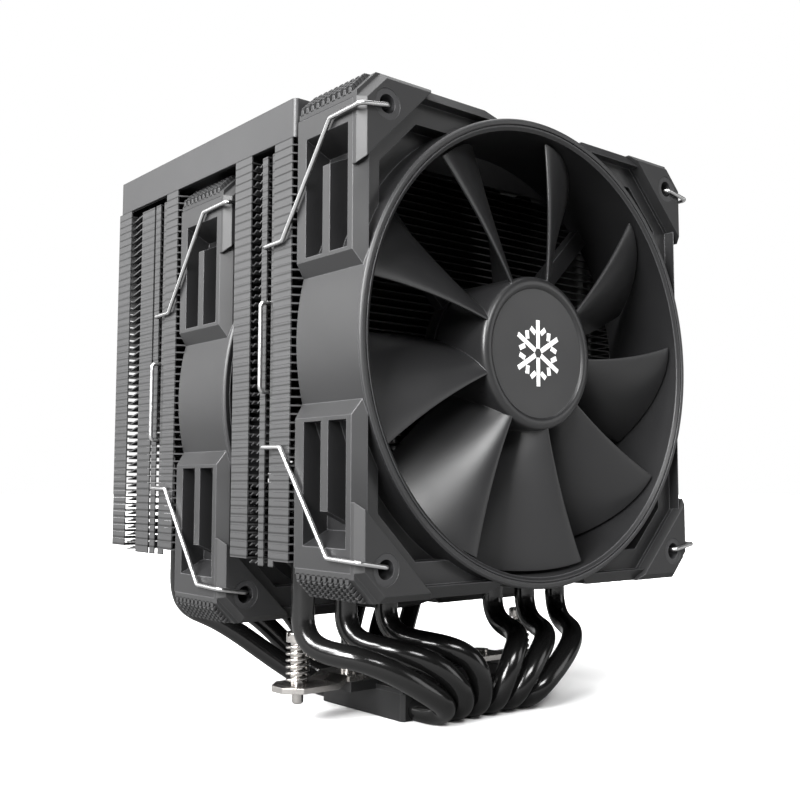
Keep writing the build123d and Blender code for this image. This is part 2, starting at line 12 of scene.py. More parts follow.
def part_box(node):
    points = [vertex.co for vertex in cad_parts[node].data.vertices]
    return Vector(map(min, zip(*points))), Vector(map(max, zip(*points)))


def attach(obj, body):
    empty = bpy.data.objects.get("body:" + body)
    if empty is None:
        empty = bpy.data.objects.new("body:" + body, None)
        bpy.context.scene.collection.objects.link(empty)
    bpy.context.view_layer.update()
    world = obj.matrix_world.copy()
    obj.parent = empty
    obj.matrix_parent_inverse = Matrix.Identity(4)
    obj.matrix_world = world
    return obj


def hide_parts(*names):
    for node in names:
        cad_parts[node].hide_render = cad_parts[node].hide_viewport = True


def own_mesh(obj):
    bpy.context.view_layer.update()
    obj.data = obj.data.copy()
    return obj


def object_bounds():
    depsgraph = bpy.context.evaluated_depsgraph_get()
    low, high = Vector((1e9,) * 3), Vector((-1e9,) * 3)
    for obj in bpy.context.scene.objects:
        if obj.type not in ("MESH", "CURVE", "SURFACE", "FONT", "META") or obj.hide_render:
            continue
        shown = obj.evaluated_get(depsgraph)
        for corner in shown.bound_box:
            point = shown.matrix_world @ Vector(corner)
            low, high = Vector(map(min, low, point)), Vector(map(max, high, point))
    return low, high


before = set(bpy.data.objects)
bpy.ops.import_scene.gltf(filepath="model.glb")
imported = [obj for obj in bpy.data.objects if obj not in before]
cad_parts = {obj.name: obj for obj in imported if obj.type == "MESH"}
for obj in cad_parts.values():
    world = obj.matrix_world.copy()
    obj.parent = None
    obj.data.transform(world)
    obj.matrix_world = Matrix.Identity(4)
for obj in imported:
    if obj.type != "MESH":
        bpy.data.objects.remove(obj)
cad_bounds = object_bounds()

bl_info = {
    "name": "CPU tower cooler",
    "version": (1, 0, 0),
    "blender": (4, 5, 0),
    "location": "3D View > Sidebar > Cooler",
    "description": "Builds the looks of a twin-tower CPU cooler around its packed model",
    "category": "Object",
}

MM = 0.001
FANS = (("front", "front_fan", "front_rotor"), ("middle", "middle_fan", "middle_rotor"))
SIDES = ("left", "right")

# blades: lead of the tip and lag of the root in degrees, and the straight share of the depth curve
BLADE_LEAD = 6.5
BLADE_ROOT_LAG = 6.5
BLADE_STRAIGHT = 0.28
BLADE_THINNING = 0.55
BLADE_FRONT_ROOM = 0.8 * MM
BLADE_BACK_ROOM = 0.4 * MM
BLADE_ROOT_OVERLAP = 0.8 * MM
HUB_RECESS = 0.75 * MM
MARK_HEIGHT = 0.08 * MM

# ring lip and pads of a fan
RING_OUTER = 59.9 * MM
RING_WIDTH = 2.85 * MM
RING_ROOM = 0.1 * MM
RING_OVERLAP = 0.3 * MM
PAD_CUT = 6.9 * MM
PAD_PROUD = 1.0 * MM
PAD_RIB_START = 3.4 * MM
PAD_RIB_COLUMNS = 7
PAD_CELL_HEIGHT = 1.15 * MM
PAD_CELL_SINK = 0.1 * MM
PAD_CELL_TAPER = 0.72

# side slots of the fins: node, start and end behind its front edge, share of the hook's rise
HOOK_SLOTS = (("front_fins", 16.7 * MM, 18.0 * MM, 0.55), ("front_fins", 19.4 * MM, 20.7 * MM, 0.55),
              ("rear_fins", 26.4 * MM, 32.4 * MM, 1.0))
HOOK_INNER = 4.2 * MM
HOOK_OUTER = 0.9 * MM
HOOK_THICKNESS = 0.35 * MM
HOOK_SEAT = 0.45 * MM
FIN_GAP = 0.05 * MM
# painted shade on the fins starts this far in from the sides of the stack
PAINTED_SHADE_FROM = 4.5 * MM

# coil springs
SPRING_WIRE = 0.45 * MM
SPRING_TURNS = 6

# stage
FLOOR_HALF = 6.0
FLOOR_DROP = 0.0002
FLOOR_BOUNCE = 0.16
FLOOR_WHITE = 0.98
WORLD_FILL = 0.02
SUNS = (("key", (-0.80, 0.10, 0.70), 8.5, 30), ("sky", (0.10, 0.30, 1.0), 3.0, 60))
SOFTBOXES = (
    ("rear_softbox", (-0.80, 0.90, 0.45), (0.7, 0.8), 6.5),
    ("left_softbox", (-0.80, -0.35, 0.45), (0.30, 0.45), 18.0),
    ("front_softbox", (-0.35, -1.00, 0.85), (0.5, 0.3), 13.0),
    ("right_softbox", (0.80, -0.95, 0.35), (0.5, 0.6), 2.2),
)
CAMERA_PLACE = (-0.19593, -0.22663, 0.06119)
CAMERA_AIM = (0.63805, 0.76555, 0.08265)
CAMERA_ROLL = 0.12
CAMERA_LENS = 46.27


# ---- sizes and colours a user may change ----
class CoolerFanSizes(bpy.types.PropertyGroup):
    """Sizes of the fan pieces."""
    blade_count: bpy.props.IntProperty(name="Blades", description="Blades on each impeller", default=9)
    blade_sweep: bpy.props.FloatProperty(
        name="Blade sweep", description="Angle that a blade covers", default=math.radians(28.5),
        unit="ROTATION", subtype="ANGLE")
    blade_thickness: bpy.props.FloatProperty(
        name="Blade thickness", description="Thickness at the leading edge", default=1.7 * MM,
        unit="LENGTH")
    knurl_pitch: bpy.props.FloatProperty(
        name="Rib pitch", description="Spacing of the ribs on the corner pads", default=2.1 * MM,
        unit="LENGTH")
    mark_size: bpy.props.FloatProperty(
        name="Mark size", description="Radius of the plain mark on the hub", default=8.6 * MM, unit="LENGTH")


class CoolerFinSizes(bpy.types.PropertyGroup):
    """Sizes of the fin details."""
    fin_count: bpy.props.IntProperty(name="Fins", description="Fins in each tower", default=50)
    hook_rise: bpy.props.FloatProperty(
        name="Hook rise", description="Height of an interlock hook", default=1.0 * MM, unit="LENGTH")
    seam_width: bpy.props.FloatProperty(
        name="Seam width", description="Width of the seam between two folded flanges",
        default=0.34 * MM, unit="LENGTH")
    # painted shade: the fins between the side flanges keep only this share of their colour
    painted_inner_shade: bpy.props.FloatProperty(
        name="Inner shade", description="Share of the colour that the fins keep between the side flanges",
        default=0.42, min=0.0, max=1.0)


class CoolerFinishes(bpy.types.PropertyGroup):
    """Colours of the finishes."""
    plastic: bpy.props.FloatVectorProperty(
        name="Fan plastic", description="Moulded frame", default=(0.011, 0.011, 0.0115), subtype="COLOR")
    impeller: bpy.props.FloatVectorProperty(
        name="Impeller plastic", description="Blades and hub", default=(0.012, 0.012, 0.0125),
        subtype="COLOR")
    rubber: bpy.props.FloatVectorProperty(
        name="Pad rubber", description="Corner pads", default=(0.014, 0.014, 0.0145), subtype="COLOR")
    fin: bpy.props.FloatVectorProperty(
        name="Fin coating", description="Coated fins", default=(0.046, 0.046, 0.047), subtype="COLOR")
    cover: bpy.props.FloatVectorProperty(
        name="Cover coating", description="Top cover", default=(0.036, 0.036, 0.037), subtype="COLOR")
    pipe: bpy.props.FloatVectorProperty(
        name="Pipe coating", description="Glossy heat pipes", default=(0.005, 0.005, 0.005), subtype="COLOR")
    nickel: bpy.props.FloatVectorProperty(
        name="Nickel", description="Bar, screws and springs", default=(0.52, 0.50, 0.48), subtype="COLOR")
    steel: bpy.props.FloatVectorProperty(
        name="Wire steel", description="Wire clips", default=(0.50, 0.50, 0.50), subtype="COLOR")
    mark: bpy.props.FloatVectorProperty(
        name="Mark", description="Print on the hub", default=(0.85, 0.85, 0.85), subtype="COLOR")


# ---- shader node groups ----
def new_group(name, inputs, outputs):
    """An empty node group with its sockets; returns the group, its input node and its output node."""
    group = bpy.data.node_groups.new(name, "ShaderNodeTree")
    for label, kind, value in inputs:
        socket = group.interface.new_socket(label, in_out="INPUT", socket_type=kind)
        if value is not None:
            socket.default_value = value
    for label, kind in outputs:
        group.interface.new_socket(label, in_out="OUTPUT", socket_type=kind)
    return group, group.nodes.new("NodeGroupInput"), group.nodes.new("NodeGroupOutput")


def add_math(group, operation, first, second=None, clamp=False):
    """A math node fed by sockets or numbers; returns its output."""
    node = group.nodes.new("ShaderNodeMath")
    node.operation = operation
    node.use_clamp = clamp
    for slot, value in enumerate((first, second)):
        if value is None:
            continue
        if isinstance(value, (int, float)):
            node.inputs[slot].default_value = value
        else:
            group.links.new(value, node.inputs[slot])
    return node.outputs[0]


def add_noise(group, vector, scale, detail=2.0):
    """A noise texture on object coordinates; returns its value."""
    node = group.nodes.new("ShaderNodeTexNoise")
    node.inputs["Detail"].default_value = detail
    group.links.new(vector, node.inputs["Vector"])
    if isinstance(scale, (int, float)):
        node.inputs["Scale"].default_value = scale
    else:
        group.links.new(scale, node.inputs["Scale"])
    return node.outputs["Fac"]


def object_coordinates(group):
    return group.nodes.new("ShaderNodeTexCoord").outputs["Object"]


def tint(group, colour, factor):
    """A colour times a number."""
    node = group.nodes.new("ShaderNodeVectorMath")
    node.operation = "SCALE"
    group.links.new(colour, node.inputs[0])
    group.links.new(factor, node.inputs["Scale"])
    return node.outputs["Vector"]


def moulded_group():
    """Fine moulded or sprayed skin: cloudy shade, fine grain height and uneven roughness."""
    group, enter, leave = new_group(
        "MouldedSkin",
        [("Colour", "NodeSocketColor", (0.1, 0.1, 0.1, 1)), ("Grain", "NodeSocketFloat", 4000.0),
         ("Shade", "NodeSocketFloat", 0.2), ("Roughness", "NodeSocketFloat", 0.5)],
        [("Colour", "NodeSocketColor"), ("Roughness", "NodeSocketFloat"), ("Height", "NodeSocketFloat")])
    place = object_coordinates(group)
    grain = add_noise(group, place, enter.outputs["Grain"], 3.0)
    cloud = add_noise(group, place, 45.0, 4.0)
    mixed = add_math(group, "ADD", add_math(group, "MULTIPLY", grain, 0.5),
                     add_math(group, "MULTIPLY", cloud, 0.5))
    centred = add_math(group, "SUBTRACT", mixed, 0.5)
    factor = add_math(group, "ADD", add_math(group, "MULTIPLY", centred, enter.outputs["Shade"]), 1.0)
    group.links.new(tint(group, enter.outputs["Colour"], factor), leave.inputs["Colour"])
    spread = add_math(group, "MULTIPLY", add_math(group, "SUBTRACT", cloud, 0.5), 0.25)
    rough = add_math(group, "ADD", enter.outputs["Roughness"], spread, clamp=True)
    group.links.new(rough, leave.inputs["Roughness"])
    group.links.new(grain, leave.inputs["Height"])
    return group


def edge_group():
    """Rounded edge normals, and a mask that rises to 1 on the rounded edges, used to paint a highlight on them.
    """
    group, enter, leave = new_group(
        "RoundedEdge", [("Radius", "NodeSocketFloat", 0.0003)],
        [("Normal", "NodeSocketVector"), ("Edge", "NodeSocketFloat")])
    bevel = group.nodes.new("ShaderNodeBevel")
    bevel.samples = 4
    group.links.new(enter.outputs["Radius"], bevel.inputs["Radius"])
    plain = group.nodes.new("ShaderNodeNewGeometry")
    dot = group.nodes.new("ShaderNodeVectorMath")
    dot.operation = "DOT_PRODUCT"
    group.links.new(bevel.outputs["Normal"], dot.inputs[0])
    group.links.new(plain.outputs["Normal"], dot.inputs[1])
    away = add_math(group, "SUBTRACT", 1.0, dot.outputs["Value"])
    group.links.new(bevel.outputs["Normal"], leave.inputs["Normal"])
    group.links.new(add_math(group, "MULTIPLY", away, 6.0, clamp=True), leave.inputs["Edge"])
    return group


def brushed_group():
    """Fine parallel lines of a rolled or brushed metal, stretched along X."""
    group, enter, leave = new_group(
        "BrushedMetal",
        [("Colour", "NodeSocketColor", (0.5, 0.5, 0.5, 1)), ("Strength", "NodeSocketFloat", 0.3),
         ("Roughness", "NodeSocketFloat", 0.3)],
        [("Colour", "NodeSocketColor"), ("Roughness", "NodeSocketFloat"), ("Height", "NodeSocketFloat")])
    mapping = group.nodes.new("ShaderNodeMapping")
    mapping.inputs["Scale"].default_value = (0.03, 1.0, 1.0)
    group.links.new(object_coordinates(group), mapping.inputs["Vector"])
    lines = add_noise(group, mapping.outputs["Vector"], 5200.0, 2.0)
    smudge = add_noise(group, object_coordinates(group), 110.0, 4.0)
    away = add_math(group, "SUBTRACT", lines, 0.5)
    factor = add_math(group, "ADD", add_math(group, "MULTIPLY", away, enter.outputs["Strength"]), 1.0)
    group.links.new(tint(group, enter.outputs["Colour"], factor), leave.inputs["Colour"])
    spread = add_math(group, "MULTIPLY", add_math(group, "SUBTRACT", smudge, 0.45), 0.3)
    group.links.new(add_math(group, "ADD", enter.outputs["Roughness"], spread, clamp=True),
                    leave.inputs["Roughness"])
    group.links.new(lines, leave.inputs["Height"])
    return group


def seam_group():
    """A mask of thin level lines at the fin pitch, where one folded flange meets the next."""
    group, enter, leave = new_group(
        "FinSeam",
        [("Start", "NodeSocketFloat", 0.0), ("Pitch", "NodeSocketFloat", 0.002),
         ("Width", "NodeSocketFloat", 0.0002)],
        [("Seam", "NodeSocketFloat")])
    split = group.nodes.new("ShaderNodeSeparateXYZ")
    group.links.new(object_coordinates(group), split.inputs[0])
    raised = add_math(group, "SUBTRACT", split.outputs["Z"], enter.outputs["Start"])
    share = add_math(group, "FRACT", add_math(group, "DIVIDE", raised, enter.outputs["Pitch"]))
    folded = add_math(group, "ABSOLUTE", add_math(group, "SUBTRACT", share, 0.5))
    from_seam = add_math(group, "MULTIPLY", add_math(group, "SUBTRACT", 0.5, folded), enter.outputs["Pitch"])
    ratio = add_math(group, "DIVIDE", from_seam, enter.outputs["Width"])
    group.links.new(add_math(group, "SUBTRACT", 1.0, ratio, clamp=True), leave.inputs["Seam"])
    return group


def painted_shade_group():
    """A painted shade: a value that is 1 at the sides of the cooler and falls to a floor towards the middle, so
    that colour times it is darker where shade falls inside the stack.
    """
    group, enter, leave = new_group(
        "PaintedInnerShade", [("Limit", "NodeSocketFloat", 0.055), ("Floor", "NodeSocketFloat", 0.4)],
        [("Shade", "NodeSocketFloat")])
    split = group.nodes.new("ShaderNodeSeparateXYZ")
    group.links.new(object_coordinates(group), split.inputs[0])
    out = add_math(group, "ABSOLUTE", split.outputs["X"])
    past = add_math(group, "SUBTRACT", out, enter.outputs["Limit"])
    share = add_math(group, "DIVIDE", past, 0.002, clamp=True)
    rest = add_math(group, "SUBTRACT", 1.0, enter.outputs["Floor"])
    group.links.new(add_math(group, "ADD", add_math(group, "MULTIPLY", share, rest), enter.outputs["Floor"]),
                    leave.inputs["Shade"])
    return group


GROUP_MAKERS = {"MouldedSkin": moulded_group, "RoundedEdge": edge_group, "BrushedMetal": brushed_group,
                "FinSeam": seam_group, "PaintedInnerShade": painted_shade_group}


def place_group(tree, name, **values):
    """A group node in a material, with its own input values."""
    node = tree.nodes.new("ShaderNodeGroup")
    node.node_tree = bpy.data.node_groups.get(name) or GROUP_MAKERS[name]()
    for label, value in values.items():
        node.inputs[label].default_value = value
    return node


# ---- materials ----
def start_material(name, **sockets):
    """A material with a Principled shader whose plain sockets are set; returns material, tree and shader."""
    material = bpy.data.materials.new(name)
    material.use_nodes = True
    tree = material.node_tree
    shader = tree.nodes["Principled BSDF"]
    for label, value in sockets.items():
        shader.inputs[label.replace("_", " ")].default_value = value
    return material, tree, shader


def link_bump(tree, shader, height, normal, strength, distance):
    """Grain height over the rounded-edge normal."""
    bump = tree.nodes.new("ShaderNodeBump")
    bump.inputs["Strength"].default_value = strength
    bump.inputs["Distance"].default_value = distance
    tree.links.new(height, bump.inputs["Height"])
    if normal is not None:
        tree.links.new(normal, bump.inputs["Normal"])
    tree.links.new(bump.outputs["Normal"], shader.inputs["Normal"])


def skin_material(name, colour, roughness, grain=4200.0, shade=0.35, bump=0.25, edge=0.00025,
                  painted_edge_highlight=2.0, base="MouldedSkin", strength=0.3, **sockets):
    """Moulded, sprayed or brushed skin whose edges are rounded and carry a painted highlight: their colour is
    lifted.
    """
    material, tree, shader = start_material(name, **sockets)
    if base == "MouldedSkin":
        skin = place_group(tree, base, Colour=(*colour, 1), Grain=grain, Shade=shade, Roughness=roughness)
    else:
        skin = place_group(tree, base, Colour=(*colour, 1), Strength=strength, Roughness=roughness)
    rounded = place_group(tree, "RoundedEdge", Radius=edge)
    # painted highlight: the colour is made brighter on the rounded edges
    lift = tree.nodes.new("ShaderNodeMath")
    lift.operation = "MULTIPLY_ADD"
    lift.inputs[1].default_value = painted_edge_highlight
    lift.inputs[2].default_value = 1.0
    tree.links.new(rounded.outputs["Edge"], lift.inputs[0])
    scale = tree.nodes.new("ShaderNodeVectorMath")
    scale.operation = "SCALE"
    tree.links.new(skin.outputs["Colour"], scale.inputs[0])
    tree.links.new(lift.outputs[0], scale.inputs["Scale"])
    tree.links.new(scale.outputs["Vector"], shader.inputs["Base Color"])
    tree.links.new(skin.outputs["Roughness"], shader.inputs["Roughness"])
    link_bump(tree, shader, skin.outputs["Height"], rounded.outputs["Normal"], bump, 0.00004)
    return material


def fin_material(name, colour, sizes):
    """Coated sheet metal with a dark seam at every fin, and painted shade that makes it darker between the side
    flanges.
    """
    low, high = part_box("front_fins")
    pitch = fin_pitch(sizes.fin_count)
    material, tree, shader = start_material(name, Metallic=0.35)
    skin = place_group(tree, "MouldedSkin", Colour=(*colour, 1), Grain=6000.0, Shade=0.3, Roughness=0.42)
    seam = place_group(tree, "FinSeam", Start=low.z, Pitch=pitch, Width=sizes.seam_width)
    shade = tree.nodes.new("ShaderNodeMath")
    shade.operation = "MULTIPLY_ADD"
    shade.inputs[1].default_value = -0.9
    shade.inputs[2].default_value = 1.0
    tree.links.new(seam.outputs["Seam"], shade.inputs[0])
    # painted shade: the fins are darkened towards the middle of the stack
    inner = place_group(tree, "PaintedInnerShade", Limit=high.x - PAINTED_SHADE_FROM, Floor=sizes.painted_inner_shade)
    both = tree.nodes.new("ShaderNodeMath")
    both.operation = "MULTIPLY"
    tree.links.new(shade.outputs[0], both.inputs[0])
    tree.links.new(inner.outputs["Shade"], both.inputs[1])
    scale = tree.nodes.new("ShaderNodeVectorMath")
    scale.operation = "SCALE"
    tree.links.new(skin.outputs["Colour"], scale.inputs[0])
    tree.links.new(both.outputs[0], scale.inputs["Scale"])
    tree.links.new(scale.outputs["Vector"], shader.inputs["Base Color"])
    tree.links.new(skin.outputs["Roughness"], shader.inputs["Roughness"])
    link_bump(tree, shader, skin.outputs["Height"], None, 0.2, 0.00003)
    return material


def fin_pitch(count):
    """Step from one fin to the next; the box of the stack ends a folded gap below the last step."""
    low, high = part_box("front_fins")
    return (high.z - low.z + FIN_GAP) / count


def finish(name):
    """The named finish, made once."""
    found = bpy.data.materials.get(name)
    if found:
        return found
    colours = bpy.context.scene.cooler_finishes
    sizes = bpy.context.scene.cooler_fins
    if name == "FanPlastic":
        # the frame plastic gets a strong painted highlight on its edges
        return skin_material(name, colours.plastic, 0.40, painted_edge_highlight=7.0, edge=0.0003)
    if name == "ImpellerPlastic":
        return skin_material(name, colours.impeller, 0.36, grain=5200.0, bump=0.15, edge=0.0002)
    if name == "PadRubber":
        return skin_material(name, colours.rubber, 0.55, grain=6500.0, shade=0.5, bump=0.4, edge=0.0003)
    if name == "BushPlastic":
        return skin_material(name, [2.2 * c for c in colours.plastic], 0.45, edge=0.0002)
    if name == "FinCoating":
        return fin_material(name, colours.fin, sizes)
    if name == "CoverCoating":
        return skin_material(name, colours.cover, 0.4, grain=9000.0, shade=0.25, bump=0.12,
                             edge=0.0004, painted_edge_highlight=0.5, Metallic=0.35)
    if name == "PipeCoating":
        return skin_material(name, colours.pipe, 0.17, grain=900.0, shade=0.2, bump=0.02, edge=0.0002,
                             painted_edge_highlight=0.0)
    if name == "Nickel":
        return skin_material(name, colours.nickel, 0.24, base="BrushedMetal", strength=0.25, bump=0.1,
                             painted_edge_highlight=0.2, Metallic=1.0)
    if name == "WireSteel":
        return skin_material(name, colours.steel, 0.3, grain=3000.0, shade=0.15, bump=0.05,
                             painted_edge_highlight=0.0, Metallic=1.0)
    if name == "BlackMetal":
        return skin_material(name, [0.5 * c for c in colours.fin], 0.4, grain=5000.0, Metallic=0.4)
    if name == "MotorSteel":
        return skin_material(name, (0.35, 0.35, 0.36), 0.35, base="BrushedMetal", Metallic=1.0)
    if name == "Ferrite":
        return skin_material(name, (0.05, 0.048, 0.045), 0.6, grain=3000.0, shade=0.6)
    if name == "Bronze":
        return skin_material(name, (0.5, 0.33, 0.16), 0.4, grain=7000.0, Metallic=1.0)
    if name == "CopperWire":
        return skin_material(name, (0.55, 0.22, 0.09), 0.3, base="BrushedMetal", Metallic=1.0)
    if name == "BoardGreen":
        return skin_material(name, (0.02, 0.09, 0.04), 0.35, grain=2500.0)
    if name == "HubPrint":
        return skin_material(name, colours.mark, 0.5, grain=6000.0, shade=0.1, painted_edge_highlight=0.0)
    raise ValueError(f"no finish is named {name}")


CAD_FINISHES = {
    "frame": "FanPlastic", "corner_pads": "PadRubber", "hole_bushes": "BushPlastic",
    "impeller_hub": "ImpellerPlastic", "impeller_blades": "ImpellerPlastic",
    "motor_mount": "FanPlastic", "hub_label": "ImpellerPlastic", "rotor_yoke": "MotorSteel",
    "magnet_ring": "Ferrite", "shaft": "MotorSteel", "bearing": "Bronze", "stator_core": "MotorSteel",
    "windings": "CopperWire", "circuit_board": "BoardGreen", "left_clip": "WireSteel",
    "right_clip": "WireSteel", "front_fins": "FinCoating", "rear_fins": "FinCoating",
    "top_cover": "CoverCoating", "base_plate": "BlackMetal", "base_heatsink": "BlackMetal",
    "base_screws": "BlackMetal", "mounting_bar": "Nickel", "bar_screws": "Nickel",
    "spring_screw": "Nickel", "retaining_ring": "Nickel", "spring": "Nickel",
}


def finish_of_node(node):
    """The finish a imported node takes, from its name without its fan, side or number."""
    if node.startswith("heat_pipe"):
        return finish("PipeCoating")
    for start in ("front_fan_", "middle_fan_"):
        if node.startswith(start):
            return finish(CAD_FINISHES[node[len(start):]])
    for start in ("left_", "right_"):
        if node.startswith(start):
            return finish(CAD_FINISHES[node[len(start):]])
    return finish(CAD_FINISHES[node])


# ---- surfaces ----
def grid_faces(rows, columns, wrap_rows=False, wrap_columns=False, offset=0):
    """Quads of a grid of rows by columns points, joined round where wrapped."""
    row = np.arange(rows if wrap_rows else rows - 1)[:, None]
    column = np.arange(columns if wrap_columns else columns - 1)[None, :]
    next_row = (row + 1) % rows
    next_column = (column + 1) % columns
    quads = np.stack(np.broadcast_arrays(row * columns + column, row * columns + next_column,
                                         next_row * columns + next_column, next_row * columns + column), -1)
    return quads.reshape(-1, 4) + offset


def make_piece(name, points, faces, body, material, replaces=(), smooth=True):
    """A mesh object from arrays of points (metres) and a list of face arrays, riding on a body."""
    mesh = bpy.data.meshes.new(name)
    listed = [face for block in faces for face in np.asarray(block).tolist()]
    mesh.from_pydata(np.asarray(points, float).reshape(-1, 3).tolist(), [], listed)
    mesh.polygons.foreach_set("use_smooth", np.full(len(mesh.polygons), smooth))
    mesh.update()
    piece = bpy.data.objects.new(name, mesh)
    bpy.context.scene.collection.objects.link(piece)
    piece.data.materials.append(finish(material))
    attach(piece, body)
    if replaces:
        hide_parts(*replaces)
    return piece


def join_parts(parts):
    """Several (points, faces) parts as one."""
    points = []
    faces = []
    count = 0
    for part_points, part_faces in parts:
        part_points = np.asarray(part_points, float).reshape(-1, 3)
        points.append(part_points)
        faces.extend(np.asarray(block) + count for block in part_faces)
        count += len(part_points)
    return np.concatenate(points), faces


def smooth_by_angle(piece, degrees=35.0):
    """Marks edges sharper than an angle, so that flat faces stay flat."""
    piece.data.set_sharp_from_angle(angle=math.radians(degrees))


def revolve(profile, turns=128):
    """A closed (radius, depth) outline carried round the Y axis: x = r cos a, z = r sin a, y = depth."""
    angle = np.linspace(0, 2 * np.pi, turns, endpoint=False)[:, None]
    radius, depth = np.asarray(profile, float).T
    points = np.stack([radius * np.cos(angle), np.broadcast_to(depth, (turns, len(depth))),
                       radius * np.sin(angle)], -1)
    return points.reshape(-1, 3), [grid_faces(turns, len(profile), wrap_rows=True, wrap_columns=True)]


# ---- impeller ----
def blade_surface(blades, sweep, thickness, hub, tip, front, back):
    """Swept blades. Along the span the radius runs from hub to tip. Round the section, share s goes from the
    leading edge to the trailing edge; the camber line turns by the sweep and drops from front to back, and
    the half thickness is a rounded nose that thins towards the trailing edge."""
    stations, round_section = 26, 44
    span = np.linspace(0, 1, stations)[:, None]
    turn = np.linspace(0, 2 * np.pi, round_section, endpoint=False)[None, :]
    share = 0.5 - 0.5 * np.cos(turn)
    nose = np.sqrt(np.abs(np.sin(turn)))
    radius = hub + (tip - hub) * span
    lag = np.radians(BLADE_ROOT_LAG) * (1 - span)
    lead = np.radians(BLADE_LEAD)
    angle = lead - lag - sweep * share + 0 * radius
    depth = front + (back - front) * (BLADE_STRAIGHT * share + (1 - BLADE_STRAIGHT) * share**2)
    half = thickness / 2 * (1 - BLADE_THINNING * share) * nose
    depth = depth + np.sign(np.sin(turn)) * half + 0 * radius
    parts = []
    for blade in range(blades):
        place = angle + 2 * np.pi * blade / blades
        points = np.stack([radius * np.cos(place), depth, radius * np.sin(place)], -1)
        cap = (np.arange(round_section) + (stations - 1) * round_section)[None, ::-1]
        root = np.arange(round_section)[None, :]
        parts.append((points, [grid_faces(stations, round_section, wrap_columns=True)[:, ::-1], root, cap]))
    return join_parts(parts)


def hub_profile(radius, front, back):
    """Outline of the hub cup: rounded rim, a shallow step, and the recessed face."""
    return [
        (0.02 * MM, front + HUB_RECESS), (radius - 3.3 * MM, front + HUB_RECESS),
        (radius - 3.0 * MM, front + 0.35 * MM), (radius - 2.7 * MM, front + 0.1 * MM),
        (radius - 2.2 * MM, front), (radius - 1.5 * MM, front + 0.02 * MM),
        (radius - 0.9 * MM, front + 0.18 * MM),
        (radius - 0.45 * MM, front + 0.5 * MM), (radius - 0.15 * MM, front + 1.0 * MM),
        (radius, front + 1.7 * MM), (radius, back), (radius - 1.4 * MM, back),
        (radius - 1.4 * MM, front + 2.4 * MM), (0.02 * MM, front + 2.4 * MM)]


def crystal_mark(size, depth):
    """A plain six-armed crystal: a bar outwards every 60 degrees, each with one pair of short slanted bars.
    Every bar is a flat block between two points, its corners half a width to each side."""
    width = size * 0.15
    bars = []
    for arm in range(6):
        turn = math.pi / 3 * arm + math.pi / 6
        along = np.array([math.cos(turn), math.sin(turn)])
        bars.append((along * width * 0.9, along * size))
        for side in (-1, 1):
            lean = turn + side * math.pi / 3.4
            twig = np.array([math.cos(lean), math.sin(lean)])
            bars.append((along * size * 0.5 + twig * width, along * size * 0.5 + twig * size * 0.4))
    start = np.array([bar[0] for bar in bars])
    end = np.array([bar[1] for bar in bars])
    way = (end - start) / np.linalg.norm(end - start, axis=1)[:, None]
    across = np.stack([-way[:, 1], way[:, 0]], 1) * width / 2
    corners = np.stack([start - across, end - across, end + across, start + across], 1)
    front = np.stack([corners[..., 0], np.full(corners.shape[:2], -depth), corners[..., 1]], -1)
    back = front + np.array([0, depth, 0])
    points = np.concatenate([front, back], 1).reshape(-1, 3)
    block = np.array([[0, 1, 2, 3], [7, 6, 5, 4], [0, 4, 5, 1], [1, 5, 6, 2], [2, 6, 7, 3], [3, 7, 4, 0]])
    faces = (np.arange(len(bars))[:, None, None] * 8 + block).reshape(-1, 4)
    return points, [faces]


class OBJECT_OT_cooler_impellers(bpy.types.Operator):
    """Builds both impellers: hub cup, swept blades and the plain mark."""
    bl_idname = "object.cooler_impellers"
    bl_label = "Impellers"

    def execute(self, context):
        sizes = context.scene.cooler_fan
        for fan, node, rotor in FANS:
            low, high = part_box(node + "_impeller_hub")
            blade_low, blade_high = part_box(node + "_impeller_blades")
            centre = np.array([(low.x + high.x) / 2, 0, (low.z + high.z) / 2])
            tip = (blade_high.x - blade_low.x) / 2
            hub = (high.x - low.x) / 2
            profile = hub_profile(hub, low.y, high.y)
            hub_points, hub_faces = revolve(profile)
            blades = blade_surface(sizes.blade_count, sizes.blade_sweep, sizes.blade_thickness,
                                   hub - BLADE_ROOT_OVERLAP, tip, blade_low.y + BLADE_FRONT_ROOM,
                                   blade_high.y - BLADE_BACK_ROOM)
            points, faces = join_parts([(hub_points, hub_faces), blades])
            packed = [node + end for end in ("_impeller_hub", "_impeller_blades", "_hub_label")]
            piece = make_piece(fan + "_impeller_moulding", points + centre, faces, rotor,
                               "ImpellerPlastic", packed)
            smooth_by_angle(piece)
            mark_points, mark_faces = crystal_mark(sizes.mark_size, MARK_HEIGHT)
            place = centre + np.array([0, low.y + HUB_RECESS, 0])
            make_piece(fan + "_hub_mark", mark_points + place, mark_faces, rotor,
                       "HubPrint", smooth=False)
        return {"FINISHED"}


# ---- fan frame ----
def lip_profile(inner, outer, front, seat):
    """Outline of the ring lip in front of the duct: inner chamfer, thin groove and rounded outer edge."""
    land = outer - 0.25 * MM
    groove = inner + 1.0 * MM
    return [
        (inner, seat), (inner, front + 0.75 * MM), (inner + 0.75 * MM, front + 0.18 * MM),
        (groove, front + 0.15 * MM), (groove + 0.08 * MM, front + 0.55 * MM),
        (groove + 0.34 * MM, front + 0.55 * MM), (groove + 0.42 * MM, front + 0.08 * MM),
        (groove + 0.65 * MM, front), (land - 0.25 * MM, front), (land, front + 0.15 * MM),
        (outer, front + 0.45 * MM), (outer, seat)]


